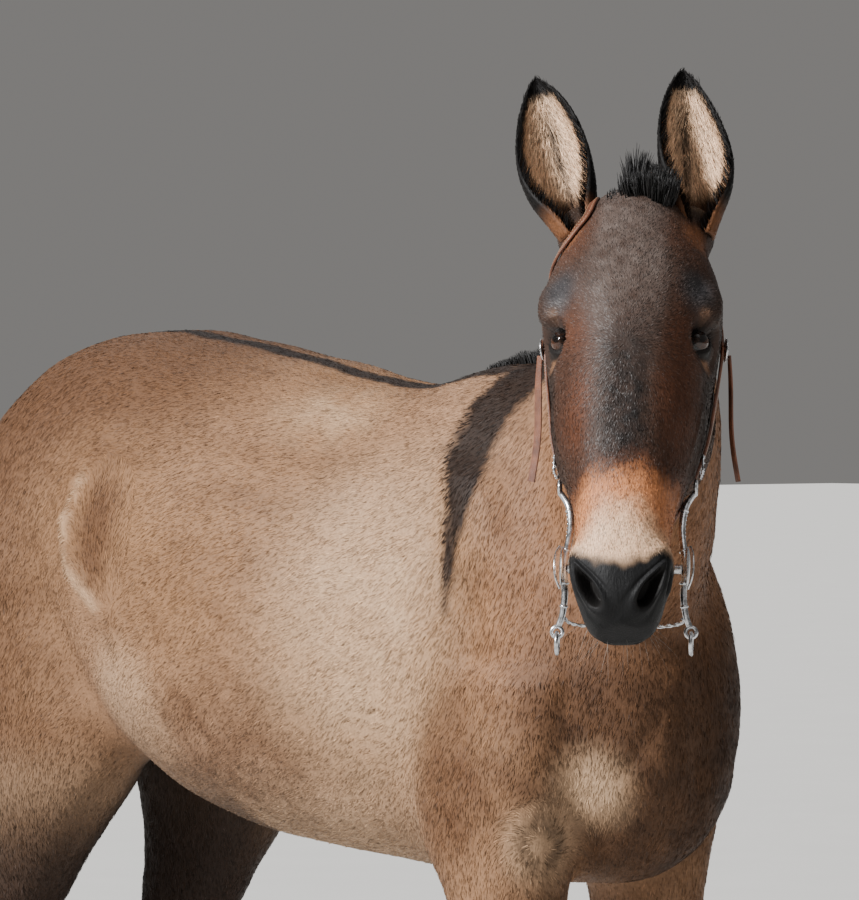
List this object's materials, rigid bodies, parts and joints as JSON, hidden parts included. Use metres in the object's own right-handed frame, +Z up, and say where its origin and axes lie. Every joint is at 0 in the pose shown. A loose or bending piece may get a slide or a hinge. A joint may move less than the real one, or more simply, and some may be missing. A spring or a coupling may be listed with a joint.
{
  "type": "mule",
  "caption": "Life-size standing mule with its head turned to its right, wearing a one-ear headstall and a curb bit without reins.",
  "frame": {"origin": "on the floor under the middle of the whole animal's box", "axes": "+Z up, -Y the way the body faces, +X the animal's own left; the head is turned 46 degrees towards -X"},
  "size_m": [0.8436, 2.0436, 1.8517],
  "materials": {
    "coat": "short flat hair, tan brown with a dark stripe along the back and over the shoulder, dark face and lower legs",
    "dark_coat": "short dark hair outside with a black rim, cream hair inside the ear",
    "hair": "coarse black hair",
    "hoof": "dark horn with faint rings",
    "eye": "wet, dark brown, opaque",
    "leather": "oiled red-brown strap leather",
    "silver": "bright worn metal"
  },
  "bodies": {
    "root": {"head": "coat", "neck": "coat", "torso": "coat", "foreleg_left": "coat", "foreleg_right": "coat", "hindleg_left": "coat", "hindleg_right": "coat", "ear_left": "dark_coat", "ear_right": "dark_coat", "eye_left": "eye", "eye_right": "eye", "mane_upper": "hair", "mane_lower": "hair", "forelock": "hair", "tail": "hair", "tail_switch": "hair", "hoof_fore_left": "hoof", "hoof_fore_right": "hoof", "hoof_hind_left": "hoof", "hoof_hind_right": "hoof", "headstall_crown": "leather", "ear_loop": "leather", "cheek_strap_left": "leather", "cheek_strap_right": "leather", "tie_left": "leather", "tie_right": "leather", "curb_strap": "leather", "concho_left": "silver", "concho_right": "silver", "buckle_left": "silver", "buckle_right": "silver", "bit_shank_left": "silver", "bit_shank_right": "silver", "bit_mouthpiece": "silver", "rein_ring_left": "silver", "rein_ring_right": "silver", "shank_bar": "silver"}
  },
  "joints": []
}
